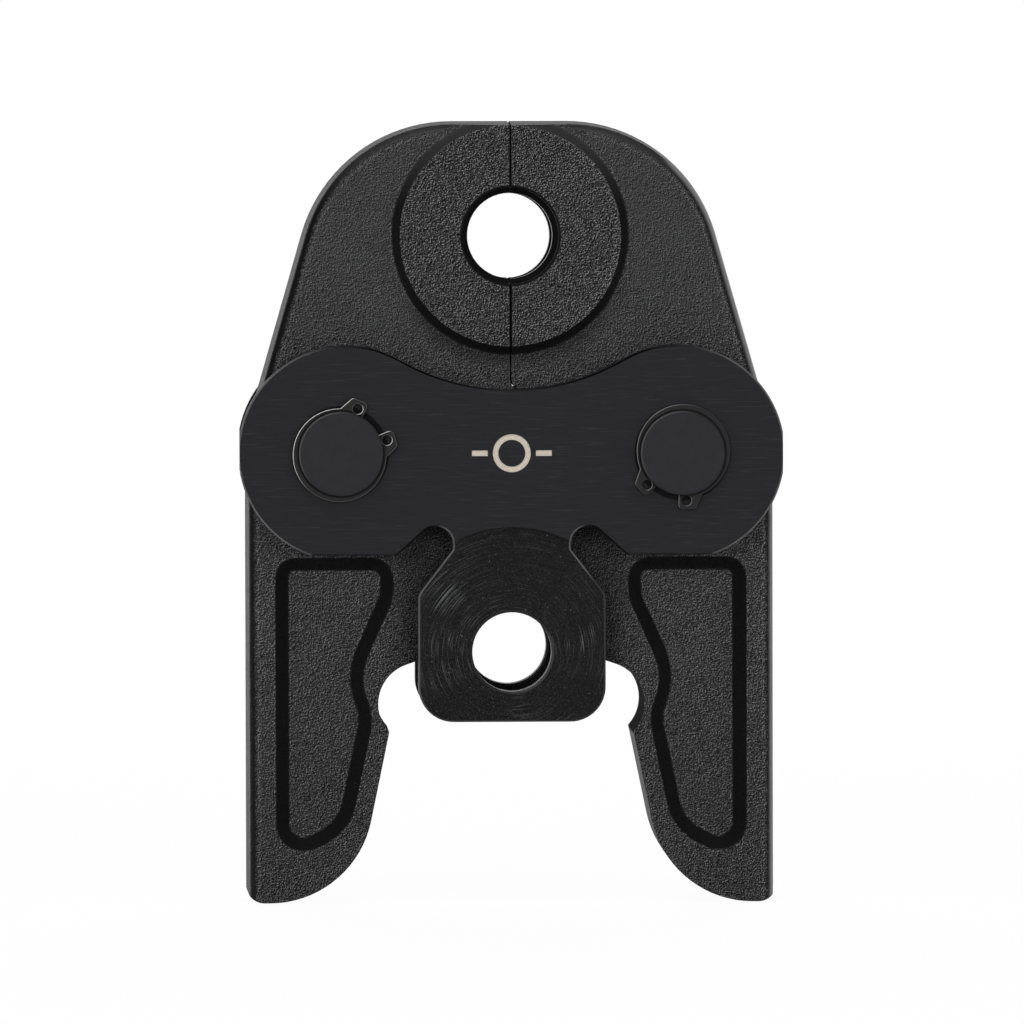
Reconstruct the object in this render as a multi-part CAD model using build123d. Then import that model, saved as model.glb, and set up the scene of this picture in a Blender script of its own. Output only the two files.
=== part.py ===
from build123d import *
import math
import os

# Press jaw for a pipe press tool: two forged levers pinned between T-shaped side plates.
# Millimetres. +Z points to the press cavity and the front faces -Y. The origin is the
# centre of the tongue bore, which takes the locking bolt of the tool. Outlines are drawn
# in the XZ plane with heights measured from the line through both pivot pins.

# Main places
PIN_SPACING = 61.0      # between the two pivot pins
BORE_DROP = 35.6        # pin line down to the tongue bore
PRESS_RISE = 38.8       # pin line up to the press axis

# Locking bolt of the tool and the bore that takes it
BOLT_BORE_D = 14.2
BOLT_RELIEF_GAP = 0.8   # arms cleared wider than the bore, for the bolt as the jaw opens
BOLT_RELIEF_OUT = 0.4   # relief set further from the pin than the bolt
BOLT_CUSP_DROP = 2.5    # below the relief, still inside its way
OPEN_STOP_DEG = 23.2    # opening at which the arms would wrap the bolt

# Jaw levers
JAW_THICK = 22.6
JAW_EDGE_R = 2.2        # forged edge along the outside
JAW_DRAFT_DEG = 3.5     # forged outside leans in from the middle to both faces
SEAM_GAP = 0.3          # between the closed halves
SEAM_BREAK = 0.1        # edge break along the seam on the boss
TOP_RIM = 0.8           # top of the levers above the boss
TOP_FLAT_HALF = 10.4
SHOULDER_R = 28.0
FLANK_LEAN_DEG = 16.0   # upper flank, from the vertical
FLANK_BLEND_R = 30.0
SIDE_WALL = 9.6         # outside a pin bore
TIP_DROP = 80.8         # pin line down to the arm tips
TIP_CORNER_R = 3.6
TIP_CORNER_OUT = 0.3    # corner of the cut outside the forged wall
CAM_ROUND_R = 18.5
CAM_LEAN_DEG = 11.7
CAM_HALF_GAP = 22.9     # midline to the cam edge at the height CAM_HEIGHT
CAM_HEIGHT = 55.0       # below the pin line
THROAT_TOP_HALF = 6.0   # inner wall of the arm, upper end
THROAT_TOP_DROP = 10.0
THROAT_HALF = 13.5      # inner wall of the arm, lower end
THROAT_DROP = 28.0

# Timing tooth that makes both jaws swing together
TOOTH_R = 8.0
TOOTH_RISE = 3.2        # pin line up to the centre of the tooth
TOOTH_ROOT_R = 2.5
TOOTH_GAP = 0.3
LIP_R = 0.8

# Round boss and press cavity
BOSS_R = 19.8
BOSS_RAISE = 2.0
BOSS_SLOPE = 1.4        # width of the sloped wall
BOSS_ROOT_R = 1.0
BOSS_EDGE_R = 0.3
CAVITY_RIM_R = 8.65
CAVITY_RIB_R = 7.65
CAVITY_MOUTH = 0.35     # edge break at the mouth
RIM_LENGTH = 3.2
RIB_SLOPE = 1.4
RIB_WIDTH = 3.0

# Shallow pocket in each face of an arm
POCKET_DEPTH = 3.2
POCKET_SLOPE = 2.4      # width of the sloped wall
POCKET_SIDE_RIM = 5.35
POCKET_TOP_RIM = 0.6    # below the lower edge of the plate
POCKET_CAM_RIM = 3.35
POCKET_TOP_HALF = 21.0
POCKET_KNEE_DROP = 7.2  # below the top of the pocket
POCKET_WAIST_DROP = 4.4  # below the tongue bore
POCKET_HIP_DROP = 4.3   # below the bolt relief
POCKET_TIP_RIM = 6.3
POCKET_TURN_RISE = 12.8  # arm tip up to the turn along the cam
POCKET_CORNER_R = (3.6, 4.0, 10.0, 10.0, 10.0, 10.0, 5.0)
POCKET_FLOOR_R = 0.8
POCKET_RIM_R = 0.6

# Pivot pins and retaining rings
PIN_D = 15.0
PIN_PLATE_GAP = 0.02
PIN_JAW_GAP = 0.05
PIN_CHAMFER = 0.25
PIN_END = 1.0           # pin past the ring groove
GROOVE_DEPTH = 0.35
GROOVE_WIDTH = 1.1
GROOVE_LEAD = 0.05      # plate face to groove
RING_THICK = 1.0
RING_SEAT_GAP = 0.05
RING_BAND = 1.15        # mean width of the ring's band
RING_OFFSET = 0.35      # outer circle off centre, away from the ears
EAR_RISE = 2.6          # ear past the pin
EAR_HALF = 1.55         # half the width of its outer end
EAR_TAPER = 0.4         # narrower at the mouth, wider on the far side
EAR_FLARE = 1.35
EAR_FLARE_DROP = 2.5
EAR_CORNER_R = (0.9, 0.6)
EAR_HOLE_D = 1.8
EAR_HOLE_IN = 1.55      # outer end to the centre of the hole
EAR_HALF_DEG = 26.4
RING_EDGE = 0.12
RING_TURN_DEG = {"front_left": 43.0, "front_right": 248.0, "rear_left": 118.0, "rear_right": 305.0}

# Side plates
PLATE_THICK = 6.0
PLATE_JAW_GAP = 0.2
LOBE_R = 19.25
LOBE_INSET = 0.9        # centre of a lobe inside its pin
LOBE_FLAT = 0.35        # ground off the end of a lobe
PLATE_DIP = 11.35       # top edge at the midline, above the pin line
PLATE_FOOT_DROP = 18.2  # lower edge of the lobes
FOOT_INNER_HALF = 20.5
FOOT_CORNER_R = 1.5
NOTCH_LEAN_DEG = 42.0
NOTCH_R = 3.1
NECK_HALF = 10.5
NECK_DROP = 17.2
NECK_CORNER_R = 1.0
TONGUE_HALF = 16.75
TONGUE_TOP_DROP = 25.3
TONGUE_TOP_R = 2.5
TONGUE_FOOT = 12.5      # below the bore centre
TONGUE_CORNER_R = 6.3
SPOT_R = 22.4           # spot face round the bore
SPOT_DEPTH = 1.0
PLATE_EDGE = 0.3
BORE_EDGE = 0.4

# Plain pipe sign sunk into the front plate
SIGN_DEPTH = 0.15
SIGN_R = 3.4
SIGN_STROKE = 1.0
SIGN_TICK_START = 4.3
SIGN_HALF = 7.15

# Closing spring between the arms, in a blind bore of each
SPRING_DROP = 20.0      # pin line down to the spring
SPRING_WIRE_D = 1.4
SPRING_MEAN_D = 7.2
SPRING_TURNS = 10       # open turns between the two end turns
SPRING_END_PITCH = 2.0
SPRING_SEAT_HALF = 26.0
SPRING_SEAT_GAP = 0.2
SPRING_BORE_GAP = 0.45
COIL_STEPS = 4          # pairs of arcs in a turn

NEAR = 0.01             # places closer than this are the same

PIN_HALF = PIN_SPACING / 2
BOLT_RELIEF_D = BOLT_BORE_D + BOLT_RELIEF_GAP
JAW_HALF_WIDTH = PIN_HALF + PIN_D / 2 + SIDE_WALL
JAW_HALF = JAW_THICK / 2
BOSS_FACE = JAW_HALF + BOSS_RAISE
PLATE_INNER = JAW_HALF + PLATE_JAW_GAP
PLATE_OUTER = PLATE_INNER + PLATE_THICK
LOBE_HALF = PIN_HALF - LOBE_INSET
GROOVE_R = PIN_D / 2 - GROOVE_DEPTH
RING_INNER_R = GROOVE_R + RING_SEAT_GAP
RING_OUTER_R = RING_INNER_R + RING_BAND
EAR_TOP_R = PIN_D / 2 + EAR_RISE
EAR_HOLE_R = EAR_TOP_R - EAR_HOLE_IN
JAW_TOP = PRESS_RISE + BOSS_R + TOP_RIM
FAR = 4 * JAW_HALF_WIDTH  # past everything
LIFT = Pos(0, 0, BORE_DROP)
LEFT_PIN = (-PIN_HALF, 0)


def slab(face, half):
    """A flat outline of the XZ plane made into a plate that reaches half to each side."""
    return extrude(Plane.XZ * face, amount=half, both=True)


def round_bar(x, z, radius, half):
    return slab(Pos(x, z) * Circle(radius), half)


def nearest_vertex(face, x, z):
    return face.vertices().sort_by_distance((x, z, 0))[0]


def cam_x(drop):
    """The cam edge of the left arm at a depth below the pin line."""
    return -CAM_HALF_GAP - (drop - CAM_HEIGHT) * math.tan(math.radians(CAM_LEAN_DEG))


def jaw_outline():
    """Outside of the left lever at the middle of its thickness."""
    lean = math.tan(math.radians(FLANK_LEAN_DEG))
    half_turn = math.radians(90 - FLANK_LEAN_DEG) / 2
    shoulder_x = -TOP_FLAT_HALF - SHOULDER_R * math.tan(half_turn)
    flank_foot = JAW_TOP - (JAW_HALF_WIDTH + shoulder_x) / lean
    inner_x = 2 * TOOTH_R
    foot = -TIP_DROP - 2 * JAW_EDGE_R
    outline = FilletPolyline(
        (inner_x, JAW_TOP),
        (shoulder_x, JAW_TOP),
        (-JAW_HALF_WIDTH, flank_foot),
        (-JAW_HALF_WIDTH, foot),
        (inner_x, foot),
        radius=[0, SHOULDER_R, FLANK_BLEND_R, 0, 0],
        close=True,
    )
    return make_face(outline)


def forged(half):
    """Blank of the left lever that reaches half to each side, with drafted walls."""
    front = extrude(Plane.XZ * jaw_outline(), amount=half, taper=JAW_DRAFT_DEG)
    return front + mirror(front, about=Plane.XZ)


def jaw_blank():
    """The blank with the long edges of its faces rounded as forged."""
    blank = forged(JAW_HALF)
    rims = [e for e in blank.edges() if abs(abs((e @ 0.5).Y) - JAW_HALF) < NEAR]
    return fillet(ShapeList(rims).sort_by(Axis.X)[:-2], JAW_EDGE_R)


def bolt_path():
    """The way of the locking bolt past the left arm, as a curved slot round its pin."""
    reach = math.hypot(PIN_HALF, BORE_DROP) + BOLT_RELIEF_OUT
    start = -math.degrees(math.atan2(BORE_DROP, PIN_HALF))
    arc = CenterArc(LEFT_PIN, reach, start, -OPEN_STOP_DEG)
    return SlotArc(arc.edge(), BOLT_RELIEF_D)


def jaw_side(toothed):
    """Everything the left lever may fill: seam, tooth or socket, throat, notch, cam and tip."""
    seam = -SEAM_GAP / 2
    notch_drop = BORE_DROP + BOLT_RELIEF_D / 2 + BOLT_CUSP_DROP
    side_x = -JAW_HALF_WIDTH - TIP_CORNER_OUT
    outline = FilletPolyline(
        (seam, FAR),
        (side_x, FAR),
        (side_x, -TIP_DROP),
        (cam_x(TIP_DROP), -TIP_DROP),
        (cam_x(notch_drop), -notch_drop),
        (-THROAT_HALF, -notch_drop),
        (-THROAT_HALF, -THROAT_DROP),
        (-THROAT_TOP_HALF, -THROAT_TOP_DROP),
        (seam, TOOTH_RISE),
        radius=[0, 0, TIP_CORNER_R, CAM_ROUND_R, 0, 0, 0, 0, 0],
        close=True,
    )
    side = make_face(outline) - bolt_path()
    tooth_x = -(PIN_HALF - math.sqrt(PIN_HALF**2 - TOOTH_RISE**2))
    if toothed:
        side += Pos(tooth_x, TOOTH_RISE) * Circle(TOOTH_R)
        side = fillet(nearest_vertex(side, seam, TOOTH_RISE + TOOTH_R), TOOTH_ROOT_R)
    else:
        socket_r = TOOTH_R + TOOTH_GAP
        side -= Pos(-tooth_x, TOOTH_RISE) * Circle(socket_r)
        side = fillet(nearest_vertex(side, seam, TOOTH_RISE + socket_r), TOOTH_ROOT_R - TOOTH_GAP)
        side = fillet(nearest_vertex(side, -socket_r / 2, TOOTH_RISE - socket_r), LIP_R)
    return side


def boss():
    """Round boss on both faces of the closed jaws, with a sloped wall and a hollow root."""
    foot = BOSS_R + BOSS_SLOPE
    profile = make_face(
        FilletPolyline(
            (0, 0),
            (foot + BOSS_ROOT_R, 0),
            (foot + BOSS_ROOT_R, JAW_HALF),
            (foot, JAW_HALF),
            (BOSS_R, BOSS_FACE),
            (0, BOSS_FACE),
            radius=[0, 0, 0, BOSS_ROOT_R, BOSS_EDGE_R, 0],
            close=True,
        )
    )
    half = Pos(0, 0, PRESS_RISE) * revolve(profile, axis=Axis.Y)
    return half + mirror(half, about=Plane.XZ)


def cavity():
    """Press cavity: two ribs with a channel between them, a wider rim at each face."""
    rib_start = BOSS_FACE - RIM_LENGTH
    rib_full = rib_start - RIB_SLOPE
    rib_end = rib_full - RIB_WIDTH
    profile = make_face(
        Polyline(
            (0, 0),
            (CAVITY_RIM_R, 0),
            (CAVITY_RIM_R, rib_end - RIB_SLOPE),
            (CAVITY_RIB_R, rib_end),
            (CAVITY_RIB_R, rib_full),
            (CAVITY_RIM_R, rib_start),
            (CAVITY_RIM_R, BOSS_FACE - CAVITY_MOUTH),
            (CAVITY_RIM_R + CAVITY_MOUTH, BOSS_FACE),
            (0, BOSS_FACE),
            close=True,
        )
    )
    half = Pos(0, 0, PRESS_RISE) * revolve(profile, axis=Axis.Y)
    return half + mirror(half, about=Plane.XZ)


def seam_break():
    """Small bevel along the seam on both faces of the boss."""
    bevel = SEAM_GAP / 2 + SEAM_BREAK
    wedge = make_face(
        Polyline((-bevel, BOSS_FACE), (bevel, BOSS_FACE), (0, BOSS_FACE - bevel), close=True)
    )
    groove = Pos(0, 0, PRESS_RISE) * extrude(wedge, amount=BOSS_R + 1, both=True)
    return groove + mirror(groove, about=Plane.XZ)


def pocket():
    """Shallow sloped pocket in the front face of the left arm."""
    notch_x = bolt_path().bounding_box().min.X
    top_drop = PLATE_FOOT_DROP + POCKET_TOP_RIM
    hip_drop = BORE_DROP + BOLT_RELIEF_D / 2 + POCKET_HIP_DROP
    turn_drop = TIP_DROP - POCKET_TURN_RISE
    side_x = -JAW_HALF_WIDTH + POCKET_SIDE_RIM
    outline = FilletPolyline(
        (side_x, -top_drop),
        (-POCKET_TOP_HALF, -top_drop),
        (-POCKET_TOP_HALF, -top_drop - POCKET_KNEE_DROP),
        (notch_x - POCKET_CAM_RIM, -BORE_DROP - POCKET_WAIST_DROP),
        (cam_x(hip_drop) - POCKET_CAM_RIM, -hip_drop),
        (cam_x(turn_drop) - POCKET_CAM_RIM, -turn_drop),
        (side_x, -TIP_DROP + POCKET_TIP_RIM),
        radius=POCKET_CORNER_R,
        close=True,
    )
    rim = Plane.XZ.offset(JAW_HALF) * make_face(outline)
    wall_deg = math.degrees(math.atan2(POCKET_SLOPE, POCKET_DEPTH))
    hollow = extrude(rim, amount=-POCKET_DEPTH, taper=wall_deg)
    return fillet(hollow.faces().sort_by(Axis.Y)[-1].edges(), POCKET_FLOOR_R)


def spring_bore():
    """Blind bore across the throat for the closing spring, in the left arm."""
    radius = (SPRING_MEAN_D + SPRING_WIRE_D) / 2 + SPRING_BORE_GAP
    across = Plane.YZ.offset(-SPRING_SEAT_HALF) * Pos(0, -SPRING_DROP) * Circle(radius)
    return extrude(across, amount=SPRING_SEAT_HALF)


def jaw(toothed):
    """The lever on the left, with the timing tooth or with the socket for it."""
    side = jaw_side(toothed)
    lever = jaw_blank() & slab(side, JAW_HALF)
    lever += boss() & slab(side, BOSS_FACE) & forged(BOSS_FACE)
    lever -= cavity()
    lever -= seam_break()
    lever -= round_bar(*LEFT_PIN, PIN_D / 2 + PIN_JAW_GAP, JAW_THICK)
    lever -= spring_bore()
    hollow = pocket()
    for tool in (hollow, mirror(hollow, about=Plane.XZ)):
        lever = soften(lever - tool, tool)
    return lever


def soften(lever, tool):
    """Rounds the rim that a pocket leaves in the face of a lever."""
    rim = [e.center() for e in tool.edges() if abs(abs(e.center().Y) - JAW_HALF) < NEAR]
    edges = [e for e in lever.edges() if any((e.center() - c).length < NEAR for c in rim)]
    return fillet(edges, POCKET_RIM_R)


def plate_outline():
    """Outline of a side plate: two lobes, a dipped top edge and the tongue."""
    dip_r = (PLATE_DIP**2 + LOBE_HALF**2 - LOBE_R**2) / (2 * (LOBE_R - PLATE_DIP))
    share = LOBE_R / (LOBE_R + dip_r)
    blend = (LOBE_HALF * (1 - share), (PLATE_DIP + dip_r) * share)
    foot_x = LOBE_HALF + math.sqrt(LOBE_R**2 - PLATE_FOOT_DROP**2)
    notch_top = -PLATE_FOOT_DROP + (FOOT_INNER_HALF - NECK_HALF) * math.tan(math.radians(NOTCH_LEAN_DEG))
    foot = -BORE_DROP - TONGUE_FOOT
    right = [
        (foot_x, -PLATE_FOOT_DROP),
        (FOOT_INNER_HALF, -PLATE_FOOT_DROP),
        (NECK_HALF, notch_top),
        (NECK_HALF, -NECK_DROP),
        (TONGUE_HALF, -TONGUE_TOP_DROP),
        (TONGUE_HALF, foot),
    ]
    radii = [FOOT_CORNER_R, NOTCH_R, NECK_CORNER_R, TONGUE_TOP_R, TONGUE_CORNER_R]
    left = [(-x, z) for x, z in reversed(right)]
    lower = FilletPolyline(*right, *left, radius=radii + radii[::-1])
    top = ThreePointArc((-blend[0], blend[1]), (0, PLATE_DIP), blend)
    lobe = ThreePointArc(blend, (LOBE_HALF + LOBE_R, 0), right[0])
    return make_face([top, lobe, lower, mirror(lobe, about=Plane.YZ)])


def sign():
    """Plain sign of a pipe on its centre line."""
    tick = (SIGN_HALF - SIGN_TICK_START, SIGN_STROKE)
    tick_x = (SIGN_HALF + SIGN_TICK_START) / 2
    ring = Circle(SIGN_R) - Circle(SIGN_R - SIGN_STROKE)
    return ring + Pos(tick_x, 0) * Rectangle(*tick) + Pos(-tick_x, 0) * Rectangle(*tick)


def side_plate(signed):
    """The front plate; the rear one is its mirror image without the sign."""
    middle = (PLATE_INNER + PLATE_OUTER) / 2
    plate = Pos(0, -middle, 0) * slab(plate_outline(), PLATE_THICK / 2)
    front = plate.faces().sort_by(Axis.Y)[0]
    plate = chamfer(front.edges(), PLATE_EDGE)
    plate &= Box(2 * (LOBE_HALF + LOBE_R - LOBE_FLAT), FAR, FAR)
    tongue_y = -PLATE_OUTER + SPOT_DEPTH
    spot = Plane.XZ.offset(-tongue_y) * Pos(0, -BORE_DROP) * Circle(SPOT_R)
    plate -= extrude(spot, amount=2 * SPOT_DEPTH)
    tongue = [f for f in plate.faces().filter_by(Axis.Y) if abs(f.center().Y - tongue_y) < NEAR]
    rim = [e for e in tongue[0].edges() if abs(math.hypot(*edge_point(e)) - SPOT_R) > NEAR]
    plate = chamfer(rim, PLATE_EDGE)
    plate -= round_bar(0, -BORE_DROP, BOLT_BORE_D / 2, 2 * PLATE_OUTER)
    circles = plate.edges().filter_by(GeomType.CIRCLE)
    mouth = [e for e in circles if abs(e.radius - BOLT_BORE_D / 2) < NEAR]
    plate = chamfer(mouth, BORE_EDGE)
    for x in (-PIN_HALF, PIN_HALF):
        plate -= round_bar(x, 0, PIN_D / 2 + PIN_PLATE_GAP, 2 * PLATE_OUTER)
    if signed:
        floor = Plane.XZ.offset(PLATE_OUTER - SIGN_DEPTH) * sign()
        plate -= extrude(floor, amount=2 * SIGN_DEPTH)
    return plate


def edge_point(edge):
    """Middle of an edge, as seen from the front and measured from the tongue bore."""
    point = edge @ 0.5
    return point.X, point.Z + BORE_DROP


def pivot_pin(x):
    """Plain pin with a ring groove near each end."""
    groove_in = PLATE_OUTER + GROOVE_LEAD
    groove_out = groove_in + GROOVE_WIDTH
    end = groove_out + PIN_END
    radius = PIN_D / 2
    profile = make_face(
        Polyline(
            (0, 0),
            (radius, 0),
            (radius, groove_in),
            (GROOVE_R, groove_in),
            (GROOVE_R, groove_out),
            (radius, groove_out),
            (radius, end - PIN_CHAMFER),
            (radius - PIN_CHAMFER, end),
            (0, end),
            close=True,
        )
    )
    half = revolve(profile, axis=Axis.Y)
    return Pos(x, 0, 0) * (half + mirror(half, about=Plane.XZ))


def ring_ear():
    """One ear of a retaining ring, on the X axis, its mouth side towards -Y."""
    flare = EAR_HALF + EAR_FLARE
    outline = FilletPolyline(
        (RING_INNER_R - RING_BAND, -EAR_HALF + EAR_TAPER),
        (EAR_TOP_R, -EAR_HALF),
        (EAR_TOP_R, EAR_HALF),
        (EAR_TOP_R - EAR_FLARE_DROP, flare),
        (RING_INNER_R - RING_BAND, flare),
        radius=[0, *EAR_CORNER_R, 0, 0],
        close=True,
    )
    return make_face(outline)


def retaining_ring(x, turn_deg, behind):
    """External ring seated in a groove, with its two ears at turn_deg."""
    reach = 2 * RING_OUTER_R
    spread = reach * math.tan(math.radians(EAR_HALF_DEG))
    mouth = make_face(Polyline((0, 0), (reach, -spread), (reach, spread), close=True))
    ear = Rot(0, 0, EAR_HALF_DEG) * ring_ear()
    hole = Rot(0, 0, EAR_HALF_DEG) * Pos(EAR_HOLE_R, 0) * Circle(EAR_HOLE_D / 2)
    band = Pos(-RING_OFFSET, 0) * Circle(RING_OUTER_R) - mouth
    band += ear + mirror(ear, about=Plane.XZ)
    band -= Circle(RING_INNER_R)
    band -= hole
    band -= mirror(hole, about=Plane.XZ)
    flat = extrude(Plane.XZ * Rot(0, 0, turn_deg) * band, amount=RING_THICK / 2, both=True)
    flat = chamfer(flat.faces().sort_by(Axis.Y)[0].edges(), RING_EDGE)
    seat = PLATE_OUTER + GROOVE_LEAD + GROOVE_WIDTH / 2
    if behind:
        flat = mirror(flat, about=Plane.XZ)
    return Pos(x, seat if behind else -seat, 0) * flat


def coil_places():
    """Points and directions down the middle of the spring wire, COIL_STEPS to a turn."""
    radius = SPRING_MEAN_D / 2
    half_length = SPRING_SEAT_HALF - SPRING_SEAT_GAP - SPRING_WIRE_D / 2
    open_pitch = 2 * (half_length - SPRING_END_PITCH) / SPRING_TURNS
    half_turns = SPRING_TURNS / 2 + 1
    count = int(2 * half_turns * COIL_STEPS)
    places = []
    for step in range(count + 1):
        turn = step / COIL_STEPS - half_turns
        inside = max(-SPRING_TURNS / 2, min(SPRING_TURNS / 2, turn))
        x = inside * open_pitch + (turn - inside) * SPRING_END_PITCH
        angle = 2 * math.pi * turn
        edge = abs(abs(turn) - SPRING_TURNS / 2)
        pitch = open_pitch if abs(turn) < SPRING_TURNS / 2 else SPRING_END_PITCH
        if edge < NEAR:
            pitch = (open_pitch + SPRING_END_PITCH) / 2
        rise = pitch / (2 * math.pi * radius)
        point = Vector(x, radius * math.cos(angle), radius * math.sin(angle))
        way = Vector(rise, -math.sin(angle), math.cos(angle)).normalized()
        places.append((point, way))
    return places


def biarc(start, way, end, end_way):
    """Two arcs that leave start along way and reach end along end_way."""
    across = end - start
    both = way + end_way
    spare = 2 * (1 - way.dot(end_way))
    along = across.dot(both)
    reach = (math.sqrt(along**2 + spare * across.dot(across)) - along) / spare
    middle = (start + end + (way - end_way) * reach) * 0.5
    first = Edge.make_tangent_arc(start, way, middle)
    return [first, Edge.make_tangent_arc(middle, first % 1, end)]


def closing_spring():
    """Compression spring wound as one wire, pressing the two arms apart."""
    places = coil_places()
    arcs = []
    for (start, way), (end, end_way) in zip(places, places[1:]):
        arcs += biarc(start, way, end, end_way)
    path = Wire(arcs)
    section = Plane(places[0][0], z_dir=places[0][1]) * Circle(SPRING_WIRE_D / 2)
    print("spring wire gap to itself, mm:", round(wire_gap(path), 3))
    return Pos(0, 0, -SPRING_DROP) * sweep(section, path=path)


def wire_gap(path):
    """Least gap between neighbouring turns, measured on points along the wire."""
    turns = SPRING_TURNS + 2
    per_turn = 36
    points = [path @ (i / (turns * per_turn)) for i in range(turns * per_turn + 1)]
    least = FAR
    for i, here in enumerate(points):
        for there in points[i + per_turn // 2 :]:
            least = min(least, (there - here).length)
    return least - SPRING_WIRE_D


nodes = {
    "left_jaw": jaw(toothed=True),
    "right_jaw": mirror(jaw(toothed=False), about=Plane.YZ),
    "front_plate": side_plate(signed=True),
    "rear_plate": mirror(side_plate(signed=False), about=Plane.XZ),
    "left_pivot_pin": pivot_pin(-PIN_HALF),
    "right_pivot_pin": pivot_pin(PIN_HALF),
    "closing_spring": closing_spring(),
}
for place, turn_deg in RING_TURN_DEG.items():
    pin_x = -PIN_HALF if "left" in place else PIN_HALF
    nodes[place + "_ring"] = retaining_ring(pin_x, turn_deg, behind="rear" in place)

os.makedirs("parts", exist_ok=True)
for name, shape in nodes.items():
    export_step(LIFT * shape, f"parts/{name}.step")
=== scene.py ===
import math

import bmesh
import bpy
from mathutils import Matrix, Vector


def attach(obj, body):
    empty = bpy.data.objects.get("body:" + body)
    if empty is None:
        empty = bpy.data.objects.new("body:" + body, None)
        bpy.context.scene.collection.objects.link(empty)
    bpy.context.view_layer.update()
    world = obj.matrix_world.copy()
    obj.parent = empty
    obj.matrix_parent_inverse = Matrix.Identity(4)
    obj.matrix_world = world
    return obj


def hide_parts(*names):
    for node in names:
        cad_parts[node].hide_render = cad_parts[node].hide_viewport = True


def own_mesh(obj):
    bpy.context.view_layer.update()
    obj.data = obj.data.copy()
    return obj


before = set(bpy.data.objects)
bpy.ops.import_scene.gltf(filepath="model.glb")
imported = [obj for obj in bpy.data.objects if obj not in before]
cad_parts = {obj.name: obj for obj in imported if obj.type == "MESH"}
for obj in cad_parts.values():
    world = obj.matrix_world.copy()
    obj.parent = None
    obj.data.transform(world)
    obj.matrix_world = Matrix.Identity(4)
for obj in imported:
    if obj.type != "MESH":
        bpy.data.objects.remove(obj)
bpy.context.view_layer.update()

# Jaw levers
# Two forged steel levers, blasted and blackened, so their faces are grainy.
# The press cavity is bored smooth; the outside walls are dressed and less coarse.

PRESS_AXIS_Z = 0.0744
CAVITY_R = (0.0090, 0.0091)
LEVER_FOOT_Z = -0.0452
ARM_SHADE_Z = (LEVER_FOOT_Z, 0.040)
UPPER_GRAIN_Z = (0.030, 0.080)
UPPER_DIM_Z = (0.035, 0.050)
SLOPE_LIT_Z = (0.078, 0.094)
BOSS_STEP_Y = (0.0117, 0.0131)
BOSS_HIGHLIGHT_R = (0.0182, 0.0195)
BOSS_HIGHLIGHT_X = (0.004, 0.016)
BOSS_SHADE_R = (0.0212, 0.0247)
BOSS_SHADE_Z = (-0.019, -0.007)
TONGUE_SHADE_X = (0.01675, 0.02425)
TONGUE_SHADE_Z = (0.022, 0.030)
NOTCH_TOP_Z = 0.0
NOTCH_FOOT_Z = -0.0150
FLANK_FOOT_Z = 0.0356
FLANK_LEAN = 0.2
FLANK_X = (0.037, 0.040)

# How far a surface faces the front: 1 on the flat faces, 0 on the walls.
FACE_LEVELS = (0.80, 0.955)
FLAT_LEVELS = (0.95, 0.998)
RIM_HIGHLIGHT_LEVELS = ((0.93, 0.97), (0.985, 0.999))
WALL_LEVELS = (0.10, 0.25)
SIDE_LEVELS = (0.25, 0.60)
EDGE_LEVELS = ((0.09, 0.20), (0.52, 0.86))
EDGE_TO_RIGHT = (0.2, 0.6)
AWAY_FROM_SEAM = (-0.002, 0.006)

GRIT_CELLS = 6500.0
GRIT_STEP = (-0.00015, 0.0, 0.00015)
GRIT_TILT = 1.2
CLOUD_SCALE = 90.0
CLOUD_SHARE = 0.05
RAGGED_SCALE = 2400.0
RAGGED_SHARE = 0.4
CREST_POWER, CREST_MEAN, CREST_SHARE = 4.0, 0.2, 1.2
HOLLOW_POWER, HOLLOW_MEAN = 2.5, 0.286
RELIEF_MIDDLE = 0.10
ARM_COARSE, UPPER_COARSE, SLOPE_COARSE = 0.76, 0.40, 0.25
FORGED_TONE = 0.178
SIDE_TONE, SIDE_CREST = 0.14, 0.5
RIM_HIGHLIGHT_GAIN = 0.5
ARM_TIP_SHADE = 0.75
BOSS_FOOT_SHADE, UPPER_TONE, BOSS_TONE = 0.4, 0.87, 0.88
TONGUE_SHADE = 0.55

SOOT_BLACK = (0.0005, 0.0005, 0.0005, 1.0)
BLAST_GREY = (0.172, 0.172, 0.175, 1.0)
SLOPE_SHADE = (0.0055, 0.0055, 0.0056, 1.0)
SLOPE_TOP_LIGHT = (0.026, 0.026, 0.0265, 1.0)
EDGE_HIGHLIGHT_GREY = (0.13, 0.13, 0.132, 1.0)
BORED_BLACK = (0.006, 0.006, 0.006, 1.0)
FORGED_SHINE = 0.075
SLOPE_ROUGH, FACE_ROUGH = 0.26, 0.30
WALL_ROUGH = (0.2, 0.43)
NOTCH_ROUGH = 0.9
BORED_ROUGH = 0.28


def put(tree, kind, sockets=None, **settings):
    """Adds a node, sets it up and joins its inputs to values or to other nodes' outputs."""
    node = tree.nodes.new(kind)
    for name, value in settings.items():
        setattr(node, name, value)
    for key, value in (sockets or {}).items():
        if isinstance(value, bpy.types.NodeSocket):
            tree.links.new(value, node.inputs[key])
        else:
            node.inputs[key].default_value = value
    return node


def calc(tree, operation, *values):
    """One step of arithmetic."""
    node = put(tree, "ShaderNodeMath", dict(enumerate(values)), operation=operation)
    return node.outputs[0]


def times(tree, product, *values):
    """The product of two or more values."""
    for value in values:
        product = calc(tree, "MULTIPLY", product, value)
    return product


def less(tree, share):
    """What a share leaves of one."""
    return calc(tree, "SUBTRACT", 1.0, share)


def distance(tree, across, up):
    """How far a point lies from an axis along Y."""
    squares = calc(tree, "ADD", calc(tree, "POWER", across, 2.0), calc(tree, "POWER", up, 2.0))
    return calc(tree, "SQRT", squares)


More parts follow.
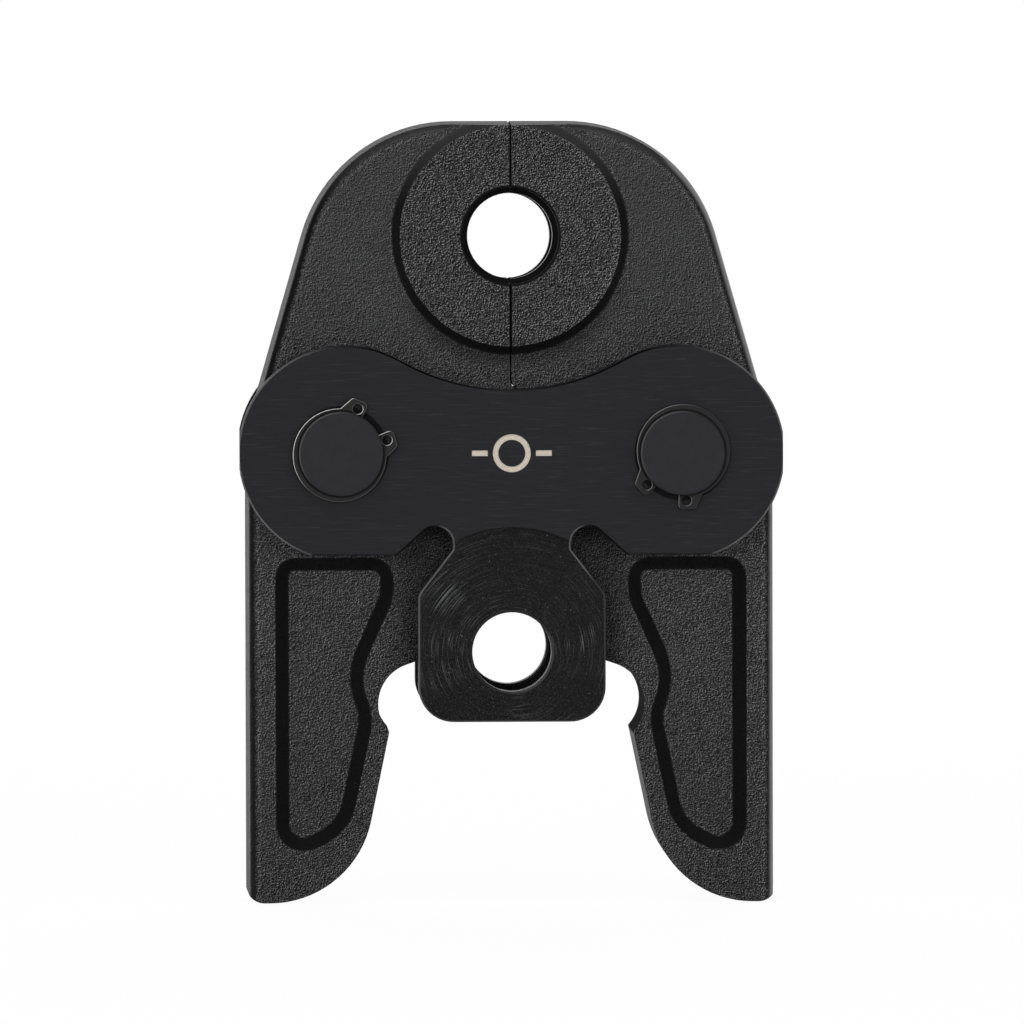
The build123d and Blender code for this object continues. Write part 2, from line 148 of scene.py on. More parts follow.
def ramp(tree, value, low, high, to_low=0.0, to_high=1.0):
    """A smooth step of a value between two levels."""
    sockets = {"Value": value, "From Min": low, "From Max": high, "To Min": to_low, "To Max": to_high}
    return put(tree, "ShaderNodeMapRange", sockets, interpolation_type="SMOOTHSTEP").outputs[0]


def band(tree, value, rise, fall):
    """A share that rises and falls again as a value grows."""
    return times(tree, ramp(tree, value, *rise), less(tree, ramp(tree, value, *fall)))


def mix(tree, share, first, second):
    """A value between two others."""
    return put(tree, "ShaderNodeMix", {"Factor": share, "A": first, "B": second}).outputs[0]


def tint(tree, share, first, second):
    """A colour between two others."""
    node = put(tree, "ShaderNodeMix", {"Factor": share}, data_type="RGBA")
    for key, value in (("A", first), ("B", second)):
        socket = next(s for s in node.inputs if s.name == key and s.type == "RGBA")
        if isinstance(value, bpy.types.NodeSocket):
            tree.links.new(value, socket)
        else:
            socket.default_value = value
    return next(s for s in node.outputs if s.type == "RGBA")


def axes(tree, vector):
    """The X, Y and Z of a vector."""
    parts = put(tree, "ShaderNodeSeparateXYZ", {"Vector": vector}).outputs
    return parts["X"], parts["Y"], parts["Z"]


def noise(tree, place, scale, detail, roughness=0.5):
    """Soft random spots."""
    sockets = {"Vector": place, "Scale": scale, "Detail": detail, "Roughness": roughness}
    return put(tree, "ShaderNodeTexNoise", sockets).outputs["Fac"]


def effect(name, inputs, outputs):
    """A node group with its sockets; it gives back the tree and both ends."""
    tree = bpy.data.node_groups.new(name, "ShaderNodeTree")
    for label, kind in inputs:
        tree.interface.new_socket(label, in_out="INPUT", socket_type=kind)
    for label, kind in outputs:
        tree.interface.new_socket(label, in_out="OUTPUT", socket_type=kind)
    return tree, tree.nodes.new("NodeGroupInput"), tree.nodes.new("NodeGroupOutput")


def finish_of(name, **fixed):
    """A material with its Principled shader, constants set on the shader's own sockets."""
    material = bpy.data.materials.new(name)
    material.use_nodes = True
    shader = material.node_tree.nodes["Principled BSDF"]
    for label, value in fixed.items():
        shader.inputs[label.replace("_", " ")].default_value = value
    return material, material.node_tree, shader


def dress(node, material):
    """Gives a node of the frame its finish."""
    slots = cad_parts[node].data.materials
    slots.clear()
    slots.append(material)


blast, blast_in, blast_out = effect(
    "blast_grain",
    [("Vector", "NodeSocketVector"), ("Cells", "NodeSocketFloat"), ("Tilt", "NodeSocketFloat")],
    [
        ("Normal", "NodeSocketVector"),
        ("Crest", "NodeSocketFloat"),
        ("Hollow", "NodeSocketFloat"),
        ("Cloud", "NodeSocketFloat"),
    ],
)
here = blast_in.outputs["Vector"]
beside = put(blast, "ShaderNodeVectorMath", {0: here, 1: GRIT_STEP}, operation="ADD").outputs[0]
for label, spot in (("Hollow", beside), ("Crest", here)):
    grit = put(blast, "ShaderNodeTexVoronoi", {"Vector": spot, "Scale": blast_in.outputs["Cells"]})
    own = put(blast, "ShaderNodeTexWhiteNoise", {"Vector": grit.outputs["Position"]})
    blast.links.new(own.outputs["Value"], blast_out.inputs[label])
lean = put(
    blast, "ShaderNodeVectorMath", {0: grit.outputs["Color"], 1: (0.5, 0.5, 0.5)}, operation="SUBTRACT"
)
lean = put(
    blast, "ShaderNodeVectorMath", {0: lean.outputs[0], "Scale": blast_in.outputs["Tilt"]}, operation="SCALE"
)
square = put(blast, "ShaderNodeNewGeometry").outputs["Normal"]
tipped = put(blast, "ShaderNodeVectorMath", {0: square, 1: lean.outputs[0]}, operation="ADD")
facet = put(blast, "ShaderNodeVectorMath", {0: tipped.outputs[0]}, operation="NORMALIZE")
blast.links.new(facet.outputs[0], blast_out.inputs["Normal"])
blast.links.new(noise(blast, here, CLOUD_SCALE, 3.0, 0.6), blast_out.inputs["Cloud"])

forged, tree, shader = finish_of("forged_black", Specular_IOR_Level=FORGED_SHINE)
place = put(tree, "ShaderNodeTexCoord").outputs["Object"]
grain = put(tree, "ShaderNodeGroup", {"Vector": place, "Cells": GRIT_CELLS}, node_tree=blast)
x, y, z = axes(tree, place)
normal_x, normal_y = axes(tree, put(tree, "ShaderNodeNewGeometry").outputs["Normal"])[:2]
upright = calc(tree, "ABSOLUTE", normal_y)
from_axis = calc(tree, "SUBTRACT", z, PRESS_AXIS_Z)
reach = distance(tree, x, from_axis)
on_boss = ramp(tree, calc(tree, "ABSOLUTE", y), *BOSS_STEP_Y)
bored = less(tree, ramp(tree, reach, *CAVITY_R))
wall = less(tree, ramp(tree, upright, *WALL_LEVELS))
outward = ramp(tree, times(tree, normal_x, x), *AWAY_FROM_SEAM)
ragged = calc(tree, "SUBTRACT", noise(tree, place, RAGGED_SCALE, 2.0), 0.5)
ragged = times(tree, ragged, RAGGED_SHARE, less(tree, ramp(tree, upright, *FLAT_LEVELS)))
flat_face = ramp(tree, calc(tree, "ADD", upright, ragged), *FACE_LEVELS)

coarse = ramp(tree, z, *UPPER_GRAIN_Z, ARM_COARSE, UPPER_COARSE)
coarse = calc(tree, "MAXIMUM", coarse, on_boss)
coarse = times(tree, coarse, ramp(tree, flat_face, 0.0, 1.0, SLOPE_COARSE, 1.0), less(tree, bored))
crest = calc(tree, "SUBTRACT", calc(tree, "POWER", grain.outputs["Crest"], CREST_POWER), CREST_MEAN)
hollow = calc(tree, "SUBTRACT", calc(tree, "POWER", grain.outputs["Hollow"], HOLLOW_POWER), HOLLOW_MEAN)
relief = calc(tree, "SUBTRACT", times(tree, crest, CREST_SHARE), hollow)
relief = times(tree, calc(tree, "SUBTRACT", relief, RELIEF_MIDDLE), coarse)
tone = calc(tree, "MAXIMUM", calc(tree, "ADD", relief, FORGED_TONE), 0.0)

# Painted highlight: a lighter line where the faces begin to round over, and on the right of the boss rim.
boss_rim_highlight = times(tree, on_boss, ramp(tree, reach, *BOSS_HIGHLIGHT_R), ramp(tree, x, *BOSS_HIGHLIGHT_X))
rim_highlight = calc(tree, "MAXIMUM", band(tree, upright, *RIM_HIGHLIGHT_LEVELS), boss_rim_highlight)
tone = times(tree, tone, calc(tree, "ADD", 1.0, times(tree, rim_highlight, RIM_HIGHLIGHT_GAIN)))
cloud = times(tree, calc(tree, "SUBTRACT", grain.outputs["Cloud"], 0.5), CLOUD_SHARE)
tone = calc(tree, "ADD", tone, cloud)
# Painted shade: the levers grow darker towards the arm tips.
tone = times(tree, tone, ramp(tree, z, *ARM_SHADE_Z, ARM_TIP_SHADE, 1.0))
# Painted shade round the foot of the boss, deepest below it; the upper faces off the boss are also made
# darker.
boss_foot_shade = ramp(tree, from_axis, *BOSS_SHADE_Z, BOSS_FOOT_SHADE, 1.0)
foot_shade_and_dim = ramp(tree, reach, *BOSS_SHADE_R, boss_foot_shade, 1.0)
foot_shade_and_dim = times(tree, foot_shade_and_dim, ramp(tree, z, *UPPER_DIM_Z, 1.0, UPPER_TONE))
tone = times(tree, tone, calc(tree, "MAXIMUM", foot_shade_and_dim, times(tree, on_boss, BOSS_TONE)))
# Painted shade on the lever faces beside the tongue.
beside_tongue_shade = less(tree, ramp(tree, calc(tree, "ABSOLUTE", x), *TONGUE_SHADE_X))
beside_tongue_shade = times(tree, beside_tongue_shade, less(tree, ramp(tree, z, *TONGUE_SHADE_Z)))
tone = times(tree, tone, less(tree, times(tree, beside_tongue_shade, TONGUE_SHADE)))

colour = tint(tree, tone, SOOT_BLACK, BLAST_GREY)
# Painted shade: the sloped walls get a near-black colour, with painted light on the slopes near the top.
slope_shade_colour = tint(tree, ramp(tree, z, *SLOPE_LIT_Z), SLOPE_SHADE, SLOPE_TOP_LIGHT)
colour = tint(tree, flat_face, slope_shade_colour, colour)
side_tone = calc(tree, "ADD", times(tree, crest, SIDE_CREST), SIDE_TONE)
turned_out = less(tree, ramp(tree, upright, *SIDE_LEVELS))
side_colour = tint(tree, side_tone, SOOT_BLACK, BLAST_GREY)
colour = tint(tree, times(tree, turned_out, outward), colour, side_colour)
above = calc(tree, "MAXIMUM", calc(tree, "SUBTRACT", z, FLANK_FOOT_Z), 0.0)
flank = calc(tree, "ADD", x, times(tree, above, FLANK_LEAN))
# Painted highlight: a grey band along the rounded outer edge of the right arm.
right_edge_highlight = times(
    tree,
    band(tree, upright, *EDGE_LEVELS),
    ramp(tree, times(tree, normal_x, outward), *EDGE_TO_RIGHT),
    ramp(tree, flank, *FLANK_X),
)
colour = tint(tree, right_edge_highlight, colour, EDGE_HIGHLIGHT_GREY)
colour = tint(tree, bored, colour, BORED_BLACK)
tree.links.new(colour, shader.inputs["Base Color"])

rough = ramp(tree, flat_face, 0.0, 1.0, SLOPE_ROUGH, FACE_ROUGH)
rough = calc(tree, "MAXIMUM", rough, ramp(tree, wall, 0.0, 1.0, *WALL_ROUGH))
notch = times(
    tree,
    calc(tree, "LESS_THAN", z, NOTCH_TOP_Z),
    calc(tree, "GREATER_THAN", z, NOTCH_FOOT_Z),
    wall,
    less(tree, outward),
)
rough = calc(tree, "MAXIMUM", rough, times(tree, notch, NOTCH_ROUGH))
tree.links.new(mix(tree, bored, rough, BORED_ROUGH), shader.inputs["Roughness"])
tree.links.new(times(tree, coarse, GRIT_TILT), grain.inputs["Tilt"])
tree.links.new(grain.outputs["Normal"], shader.inputs["Normal"])
for lever in ("left_jaw", "right_jaw"):
    dress(lever, forged)

# Closing spring
# Compression spring of round wire between the arms; each half sits in its arm's blind bore and moves with
# its arm.
# One turn is closed at each end, and the middle turn is wide, so that the halves stay clear when open.

SPRING_Z = 0.0156
SPRING_MEAN_R = 0.0036
SPRING_WIRE_R = 0.0007
MIDDLE_PITCH = 0.0057
OPEN_TURNS = 4
OPEN_PITCH = 0.00435
END_PITCH = 0.0020
TURN_STEPS = 40
WIRE_SIDES = 14
WELD = 1e-7
HAZE_SCALE = 900.0
DRAWN_SCALE = 6000.0
WIRE_DARK = (0.10, 0.098, 0.094, 1.0)
WIRE_LIGHT = (0.34, 0.33, 0.315, 1.0)
WIRE_ROUGH = (0.5, 0.32)

wire_steel, tree, shader = finish_of("spring_wire", Metallic=0.85, Specular_IOR_Level=0.5)
place = put(tree, "ShaderNodeTexCoord").outputs["Object"]
haze = noise(tree, place, HAZE_SCALE, 4.0, 0.65)
tree.links.new(tint(tree, haze, WIRE_DARK, WIRE_LIGHT), shader.inputs["Base Color"])
tree.links.new(ramp(tree, haze, 0.3, 0.7, *WIRE_ROUGH), shader.inputs["Roughness"])
drawn = noise(tree, place, DRAWN_SCALE, 1.0)
bump = put(tree, "ShaderNodeBump", {"Strength": 0.25, "Distance": 0.00003, "Height": drawn})
tree.links.new(bump.outputs["Normal"], shader.inputs["Normal"])


def coil_half(name, side):
    """Half of the spring, wound from the middle out to one seat."""
    bm = bmesh.new()
    lean = math.atan(MIDDLE_PITCH / (2 * math.pi * SPRING_MEAN_R))
    stand = Matrix.Translation((0.0, SPRING_MEAN_R, SPRING_Z)) @ Matrix.Rotation(side * lean, 4, "Y")
    bmesh.ops.create_circle(bm, segments=WIRE_SIDES, radius=SPRING_WIRE_R, matrix=stand)
    lead = list(bm.edges)
    for turns, pitch in ((1, MIDDLE_PITCH), (OPEN_TURNS, OPEN_PITCH), (1, END_PITCH)):
        wound = bmesh.ops.spin(
            bm,
            geom=lead,
            cent=(0.0, 0.0, SPRING_Z),
            axis=(side, 0.0, 0.0),
            dvec=(side * pitch / TURN_STEPS, 0.0, 0.0),
            angle=2 * math.pi * turns,
            steps=turns * TURN_STEPS,
        )
        lead = [e for e in wound["geom_last"] if isinstance(e, bmesh.types.BMEdge)]
    bmesh.ops.remove_doubles(bm, verts=bm.verts, dist=WELD)
    bmesh.ops.holes_fill(bm, edges=[e for e in bm.edges if e.is_boundary], sides=0)
    bmesh.ops.recalc_face_normals(bm, faces=bm.faces)
    for face in bm.faces:
        face.smooth = len(face.verts) == 4
    mesh = bpy.data.meshes.new(name)
    bm.to_mesh(mesh)
    bm.free()
    mesh.materials.append(wire_steel)
    half = bpy.data.objects.new(name, mesh)
    bpy.context.scene.collection.objects.link(half)
    return half


for name, side, body in (("left_spring_half", -1, "left_lever"), ("right_spring_half", 1, "right_lever")):
    half = coil_half(name, side)
    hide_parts("closing_spring")
    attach(half, body)
    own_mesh(half)

# Side plates
# T-shaped plates of cold-rolled steel, blackened, with a fine grain along their length.
# The tongue is spot-faced round its bore and shows turned arcs; the sign is cut through the black.

PIN_LINE_Z = 0.0356
PIN_X = 0.0305
RING_SHADOW_R = (0.0084, 0.0087)
SPOT_R = (0.0224, 0.0225)
SPOT_DEPTH_Y = (0.0167, 0.0169)
BORE_RIM_R = (0.0077, 0.0080)
LOBE_FOOT_Z = (0.012, 0.016)
SIGN_HALF_X = 0.0080
SIGN_HALF_Z = 0.0042
SIGN_FLOOR_Y = -0.01743
SIGN_MOUTH_Y = -0.0170

BEVEL_LEVELS = ((0.5, 0.65), (0.8, 0.95))
FLAT_PLATE = (0.85, 0.95)
LIT_SIDE = (0.1, 0.75)
LIGHT_FROM_ABOVE = 0.6
LEAST_LIT_PLATE, EVENLY_LIT = 0.3, 1.0
BORE_RIM_HIGHLIGHT = 0.4
LIT_OUTER_EDGE = (0.0, 0.45)
SHADED_INNER_EDGE = (-0.25, 0.05)

ROLLED_SCALE = (180.0, 180.0, 4600.0)
ROLLED_LINES = (0.52, 0.78)
ARC_STEP, ARC_LENGTH = 11500.0, 1.8
ARC_LINES = (0.56, 0.78)
ARC_PATCH_SCALE = 70.0
ARC_PATCHES = (0.30, 0.64)
ARC_GLINT_FROM = math.radians(60.0)
ARC_GLINT_SIDES = (0.35, 0.95, 0.18, 1.0)
NICK_SCALE = 2600.0
NICK_LEVELS = (0.62, 0.8)
NICK_SHARE = 0.8
FINE_SCALE = 5600.0
FINE_LEVELS = (0.42, 0.72)
FINE_SHARE = 0.055
PLATE_TONE, LINE_SHARE = 0.034, 0.05

PLATE_DARK = (0.0032, 0.0031, 0.0039, 1.0)
PLATE_LIGHT = (0.203, 0.202, 0.218, 1.0)
SPOT_DARK = (0.0022, 0.0022, 0.0023, 1.0)
SPOT_LIGHT = (0.200, 0.200, 0.202, 1.0)
SHADED_BLACK = (0.0006, 0.0006, 0.0006, 1.0)
HIGHLIGHT_GREY = (0.075, 0.075, 0.077, 1.0)
ETCHED_DARK = (0.22, 0.20, 0.17, 1.0)
ETCHED_LIGHT = (0.53, 0.483, 0.413, 1.0)
PLATE_SHINE = 0.07
PLATE_ROUGH = (0.42, 0.34)
SPOT_ROUGH = 0.30
RING_SHADOW_ROUGH = 0.12

# Painted highlight along the bevels, strongest on those facing up and to the left.
lit_edge, lit_edge_in, lit_edge_out = effect(
    "painted_edge_highlight", [("Least", "NodeSocketFloat")], [("Mask", "NodeSocketFloat")]
)
normal_x, normal_y, normal_z = axes(lit_edge, put(lit_edge, "ShaderNodeNewGeometry").outputs["Normal"])
bevel = band(lit_edge, calc(lit_edge, "ABSOLUTE", normal_y), *BEVEL_LEVELS)
lit_side = calc(lit_edge, "SUBTRACT", times(lit_edge, normal_z, LIGHT_FROM_ABOVE), normal_x)
edge_highlight = times(lit_edge, bevel, ramp(lit_edge, lit_side, *LIT_SIDE, lit_edge_in.outputs["Least"], 1.0))
lit_edge.links.new(edge_highlight, lit_edge_out.inputs["Mask"])

pin_circle, pin_in, pin_out = effect(
    "pin_circle", [("Vector", "NodeSocketVector")], [("Reach", "NodeSocketFloat")]
)
x, y, z = axes(pin_circle, pin_in.outputs["Vector"])
off = calc(pin_circle, "SUBTRACT", calc(pin_circle, "ABSOLUTE", x), PIN_X)
rise = calc(pin_circle, "SUBTRACT", z, PIN_LINE_Z)
pin_circle.links.new(distance(pin_circle, off, rise), pin_out.inputs["Reach"])

plate_black, tree, shader = finish_of("plate_black", Specular_IOR_Level=PLATE_SHINE)
place = put(tree, "ShaderNodeTexCoord").outputs["Object"]
x, y, z = axes(tree, place)
normal_x, normal_y = axes(tree, put(tree, "ShaderNodeNewGeometry").outputs["Normal"])[:2]
reach = distance(tree, x, z)
turn = calc(tree, "ARCTAN2", x, z)
spot = times(
    tree,
    less(tree, ramp(tree, calc(tree, "ABSOLUTE", y), *SPOT_DEPTH_Y)),
    less(tree, ramp(tree, reach, *SPOT_R)),
    ramp(tree, calc(tree, "ABSOLUTE", normal_y), *FLAT_PLATE),
)

rolled = put(tree, "ShaderNodeMapping", {"Vector": place, "Scale": ROLLED_SCALE})
streak = noise(tree, rolled.outputs["Vector"], 1.0, 2.0)
lines = times(tree, ramp(tree, streak, *ROLLED_LINES), LINE_SHARE)
face_tone = calc(tree, "ADD", PLATE_TONE, lines)
wound_up = {"X": times(tree, reach, ARC_STEP), "Y": times(tree, turn, ARC_LENGTH), "Z": 0.0}
arcs = noise(tree, put(tree, "ShaderNodeCombineXYZ", wound_up).outputs["Vector"], 1.0, 2.0)
patch = noise(tree, place, ARC_PATCH_SCALE, 2.0)
# Painted reflection: the turned arcs show brighter in two opposite sectors.
arc_glint_sectors = calc(tree, "ABSOLUTE", calc(tree, "COSINE", calc(tree, "ADD", turn, ARC_GLINT_FROM)))
arc_lines = times(
    tree,
    ramp(tree, arcs, *ARC_LINES),
    ramp(tree, patch, *ARC_PATCHES),
    ramp(tree, arc_glint_sectors, *ARC_GLINT_SIDES),
)
nicks = noise(tree, place, NICK_SCALE, 3.0, 0.7)
nick_dots = times(tree, ramp(tree, nicks, *NICK_LEVELS), NICK_SHARE)
fine = noise(tree, place, FINE_SCALE, 1.0, 0.6)
grit = times(tree, ramp(tree, fine, *FINE_LEVELS), FINE_SHARE)
spot_tone = calc(tree, "ADD", grit, calc(tree, "ADD", arc_lines, nick_dots))
from_pin = put(tree, "ShaderNodeGroup", {"Vector": place}, node_tree=pin_circle).outputs["Reach"]
# Painted shadow round each ring: the plate is near black there, and glossier.
out_of_ring_shadow = ramp(tree, from_pin, *RING_SHADOW_R)
tone = times(tree, mix(tree, spot, face_tone, spot_tone), out_of_ring_shadow)
plate_colour = tint(tree, tone, PLATE_DARK, PLATE_LIGHT)
spot_colour = tint(tree, tone, SPOT_DARK, SPOT_LIGHT)
colour = tint(tree, spot, plate_colour, spot_colour)

# Painted highlights on the plate edges, dimmer at the bore's rim; on the lobes the outward edges get painted
# highlights and the inward edges a painted shadow.
edge = put(tree, "ShaderNodeGroup", {"Least": LEAST_LIT_PLATE}, node_tree=lit_edge).outputs["Mask"]
edge = times(tree, edge, ramp(tree, reach, *BORE_RIM_R, BORE_RIM_HIGHLIGHT, 1.0))
bevel = put(tree, "ShaderNodeGroup", {"Least": EVENLY_LIT}, node_tree=lit_edge).outputs["Mask"]
outer = times(tree, calc(tree, "SIGN", x), normal_x)
lobe = ramp(tree, z, *LOBE_FOOT_Z)
edge = mix(tree, lobe, edge, times(tree, bevel, ramp(tree, outer, *LIT_OUTER_EDGE)))
shaded = times(tree, bevel, lobe, ramp(tree, outer, *SHADED_INNER_EDGE, 1.0, 0.0))
colour = tint(tree, shaded, colour, SHADED_BLACK)
colour = tint(tree, edge, colour, HIGHLIGHT_GREY)

from_pin_line = calc(tree, "ABSOLUTE", calc(tree, "SUBTRACT", z, PIN_LINE_Z))
in_sign = times(
    tree,
    calc(tree, "LESS_THAN", calc(tree, "ABSOLUTE", x), SIGN_HALF_X),
    calc(tree, "LESS_THAN", from_pin_line, SIGN_HALF_Z),
    calc(tree, "GREATER_THAN", y, SIGN_FLOOR_Y),
    calc(tree, "LESS_THAN", y, SIGN_MOUTH_Y),
)
etched = tint(tree, nicks, ETCHED_DARK, ETCHED_LIGHT)
tree.links.new(tint(tree, in_sign, colour, etched), shader.inputs["Base Color"])
rough = mix(tree, spot, ramp(tree, streak, 0.3, 0.7, *PLATE_ROUGH), SPOT_ROUGH)
tree.links.new(ramp(tree, out_of_ring_shadow, 0.0, 1.0, RING_SHADOW_ROUGH, rough), shader.inputs["Roughness"])
relief = mix(tree, spot, streak, arcs)
bump = put(tree, "ShaderNodeBump", {"Strength": 0.35, "Distance": 0.00002, "Height": relief})
tree.links.new(bump.outputs["Normal"], shader.inputs["Normal"])
for plate in ("front_plate", "rear_plate"):
    dress(plate, plate_black)

# Pivot pins
# Ground and blackened steel pins, a ring groove near each end.
# Their faces are fine-turned and nearly even.

PIN_DARK = (0.0102, 0.0100, 0.0116, 1.0)
PIN_LIGHT = (0.0174, 0.0171, 0.0194, 1.0)
PIN_HIGHLIGHT = (0.055, 0.054, 0.053, 1.0)
PIN_SHINE = 0.08
PIN_ROUGH = (0.46, 0.40)
LEAST_LIT_PIN = 0.1
MIST_SCALE = 700.0
TURNED_STEP = 24000.0

pin_black, tree, shader = finish_of("pin_black", Specular_IOR_Level=PIN_SHINE)
place = put(tree, "ShaderNodeTexCoord").outputs["Object"]
mist = noise(tree, place, MIST_SCALE, 4.0, 0.6)
colour = tint(tree, mist, PIN_DARK, PIN_LIGHT)
# Painted highlight on the pins' bevels.
edge = put(tree, "ShaderNodeGroup", {"Least": LEAST_LIT_PIN}, node_tree=lit_edge).outputs["Mask"]
tree.links.new(tint(tree, edge, colour, PIN_HIGHLIGHT), shader.inputs["Base Color"])
tree.links.new(ramp(tree, mist, 0.3, 0.7, *PIN_ROUGH), shader.inputs["Roughness"])
reach = put(tree, "ShaderNodeGroup", {"Vector": place}, node_tree=pin_circle).outputs["Reach"]
ripple = calc(tree, "SINE", times(tree, reach, TURNED_STEP))
bump = put(tree, "ShaderNodeBump", {"Strength": 0.15, "Distance": 0.000004, "Height": ripple})
tree.links.new(bump.outputs["Normal"], shader.inputs["Normal"])
for pin in ("left_pivot_pin", "right_pivot_pin"):
    dress(pin, pin_black)

# Retaining rings
# Stamped spring-steel rings, oiled black, snapped into the pins' grooves.
# Painted highlights lie along their edges, brighter on the left ring; a painted shadow lies dark where they
# meet the pin.

PIN_EDGE_SHADOW_R = (0.0078, 0.0080)
PIN_EDGE_SHADOW_BLACK = (0.0006, 0.0006, 0.0006, 1.0)
RING_DARK = (0.006, 0.006, 0.006, 1.0)
RING_LIGHT = (0.017, 0.017, 0.017, 1.0)
RING_HIGHLIGHT = (0.42, 0.41, 0.40, 1.0)
RING_SHINE = 0.1
RING_ROUGH = (0.42, 0.30)
LEAST_LIT_RING = 0.1
LEFT_TO_RIGHT_X = (-0.001, 0.001)
LEFT_HIGHLIGHT, RIGHT_HIGHLIGHT = 1.0, 0.3
OIL_SCALE = 1500.0

ring_black, tree, shader = finish_of("ring_black", Specular_IOR_Level=RING_SHINE)
place = put(tree, "ShaderNodeTexCoord").outputs["Object"]
oil = noise(tree, place, OIL_SCALE, 4.0, 0.65)
colour = tint(tree, oil, RING_DARK, RING_LIGHT)
reach = put(tree, "ShaderNodeGroup", {"Vector": place}, node_tree=pin_circle).outputs["Reach"]
# Painted shadow where the ring meets the pin.
colour = tint(tree, ramp(tree, reach, *PIN_EDGE_SHADOW_R), PIN_EDGE_SHADOW_BLACK, colour)
# Painted highlight on the bevels, brighter on the left ring.
edge = put(tree, "ShaderNodeGroup", {"Least": LEAST_LIT_RING}, node_tree=lit_edge).outputs["Mask"]
ring_highlight = times(tree, edge, ramp(tree, axes(tree, place)[0], *LEFT_TO_RIGHT_X, LEFT_HIGHLIGHT, RIGHT_HIGHLIGHT))
tree.links.new(tint(tree, ring_highlight, colour, RING_HIGHLIGHT), shader.inputs["Base Color"])
tree.links.new(ramp(tree, oil, 0.3, 0.7, *RING_ROUGH), shader.inputs["Roughness"])
bump = put(tree, "ShaderNodeBump", {"Strength": 0.2, "Distance": 0.00002, "Height": oil})
tree.links.new(bump.outputs["Normal"], shader.inputs["Normal"])
for ring in ("front_left_ring", "front_right_ring", "rear_left_ring", "rear_right_ring"):
    dress(ring, ring_black)

# Studio
# White floor and sweep, soft boxes left, right and above, and weaker ones for the sides and the back.
# The camera looks at the front, a little from the left and from above.

WHITE = (1.0, 1.0, 1.0, 1.0)
PAPER_WHITE = (0.9, 0.9, 0.9, 1.0)
PAPER_ROUGH = 0.9
PAPER_SHINE = 0.1
MIRRORED_Y = (1.6, 2.2)
CAMERA_SHARE_Y = (0.2, 1.4, 0.96, 1.0)
WORLD_LIGHT = (0.03, 1.0)
SWEEP_HALF = 3.0
SWEEP_MIDDLE_Y = -0.8
SWEEP_BEND_Y = 2.2
SWEEP_BEND_R = 0.4
SWEEP_STEPS = 16
SWEEP_RISE = 1.4
FLOOR_GAP = 0.0002
AIM = Vector((0.00015, -0.0175, 0.0251))
AZIMUTH = math.radians(-1.8)
ELEVATION = math.radians(1.9)
ROLL = math.radians(0.14)
CAMERA_AWAY = 1.75
LENS_MM = 344.5
SENSOR_MM = 36.0

paper, tree, matt = finish_of(
    "white_paper", Base_Color=PAPER_WHITE, Roughness=PAPER_ROUGH, Specular_IOR_Level=PAPER_SHINE
)
glow = put(tree, "ShaderNodeEmission", {"Color": WHITE, "Strength": 1.0})
ray = put(tree, "ShaderNodeLightPath")
back = axes(tree, put(tree, "ShaderNodeTexCoord").outputs["Object"])[1]
mirrored = calc(tree, "MAXIMUM", ray.outputs["Is Glossy Ray"], ray.outputs["Is Transmission Ray"])
mirrored = times(tree, mirrored, ramp(tree, back, *MIRRORED_Y))
seen = times(tree, ray.outputs["Is Camera Ray"], ramp(tree, back, *CAMERA_SHARE_Y))
seen = calc(tree, "MAXIMUM", seen, mirrored)
both = put(tree, "ShaderNodeMixShader", {0: seen, 1: matt.outputs["BSDF"], 2: glow.outputs["Emission"]})
tree.links.new(both.outputs[0], tree.nodes["Material Output"].inputs["Surface"])

bm = bmesh.new()
bmesh.ops.create_grid(bm, x_segments=1, y_segments=1, size=SWEEP_HALF)
bmesh.ops.translate(bm, verts=bm.verts, vec=(0.0, SWEEP_MIDDLE_Y, LEVER_FOOT_Z - FLOOR_GAP))
back_edge = [e for e in bm.edges if all(v.co.y > SWEEP_BEND_Y - 0.2 for v in e.verts)]
bmesh.ops.spin(
    bm,
    geom=back_edge,
    cent=(0.0, SWEEP_BEND_Y, LEVER_FOOT_Z + SWEEP_BEND_R),
    axis=(1.0, 0.0, 0.0),
    angle=math.pi / 2,
    steps=SWEEP_STEPS,
)
wall_y = SWEEP_BEND_Y + SWEEP_BEND_R - 0.05
top_edge = [e for e in bm.edges if e.is_boundary and all(v.co.y > wall_y for v in e.verts)]
risen = bmesh.ops.extrude_edge_only(bm, edges=top_edge)
risen_verts = [v for v in risen["geom"] if isinstance(v, bmesh.types.BMVert)]
bmesh.ops.translate(bm, verts=risen_verts, vec=(0.0, 0.0, SWEEP_RISE))
for face in bm.faces:
    face.smooth = True
mesh = bpy.data.meshes.new("paper_sweep")
bm.to_mesh(mesh)
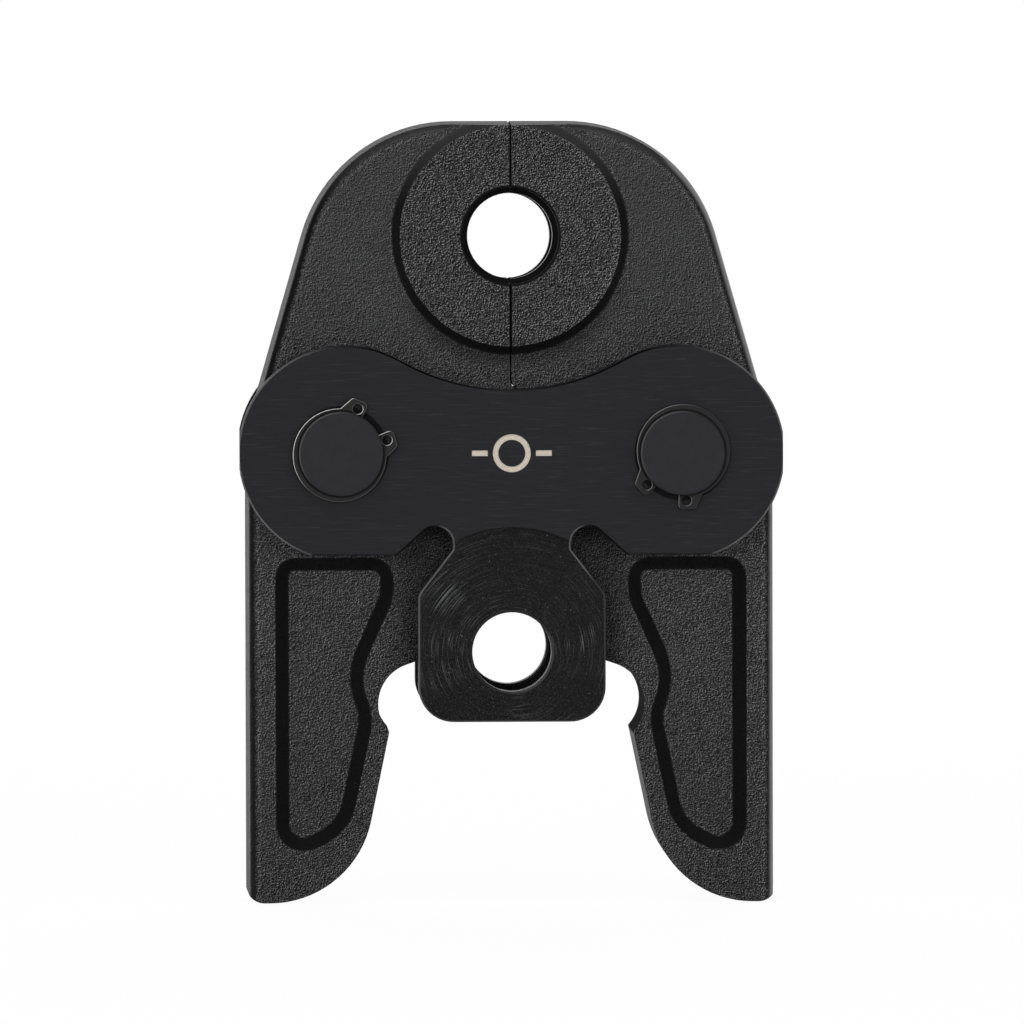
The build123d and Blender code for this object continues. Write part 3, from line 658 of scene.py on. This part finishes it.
bm.free()
mesh.materials.append(paper)
sweep = bpy.data.objects.new("paper_sweep", mesh)
bpy.context.scene.collection.objects.link(sweep)


def soft_box(name, place, size, power, glints=True):
    """A wide lamp turned to the jaw; without glints it only lifts the dark sides."""
    lamp = bpy.data.lights.new(name, "AREA")
    lamp.shape = "RECTANGLE"
    lamp.size, lamp.size_y = size
    lamp.energy = power
    holder = bpy.data.objects.new(name, lamp)
    holder.location = place
    holder.rotation_euler = (AIM - Vector(place)).to_track_quat("-Z", "Y").to_euler()
    holder.visible_glossy = glints
    bpy.context.scene.collection.objects.link(holder)


soft_box("left_box", (-0.83, -1.88, 0.53), (0.75, 0.9), 20.5)
soft_box("right_box", (0.84, -1.89, 0.46), (0.75, 0.9), 17.0)
soft_box("top_box", (0.0, -0.9, 1.7), (1.2, 0.8), 12.0)
soft_box("left_fill", (-1.55, -0.9, 0.6), (0.8, 0.9), 7.0, glints=False)
soft_box("right_fill", (1.55, -0.9, 0.6), (0.8, 0.9), 7.0, glints=False)
soft_box("back_fill", (0.0, 1.7, 1.2), (1.4, 0.8), 30.0, glints=False)

world = bpy.data.worlds.new("studio")
world.use_nodes = True
tree = world.node_tree
base = tree.nodes["Background"]
base.inputs["Color"].default_value = WHITE
ray = put(tree, "ShaderNodeLightPath")
light = ramp(tree, ray.outputs["Is Camera Ray"], 0.0, 1.0, *WORLD_LIGHT)
tree.links.new(light, base.inputs["Strength"])
bpy.context.scene.world = world

lens = bpy.data.cameras.new("front_camera")
lens.lens = LENS_MM
lens.sensor_width = SENSOR_MM
camera = bpy.data.objects.new("front_camera", lens)
level = math.cos(ELEVATION)
camera.location = AIM + CAMERA_AWAY * Vector(
    (math.sin(AZIMUTH) * level, -math.cos(AZIMUTH) * level, math.sin(ELEVATION))
)
camera.rotation_euler = (math.pi / 2 - ELEVATION, ROLL, AZIMUTH)
bpy.context.scene.collection.objects.link(camera)
bpy.context.scene.camera = camera
bpy.context.scene.view_settings.view_transform = "Standard"
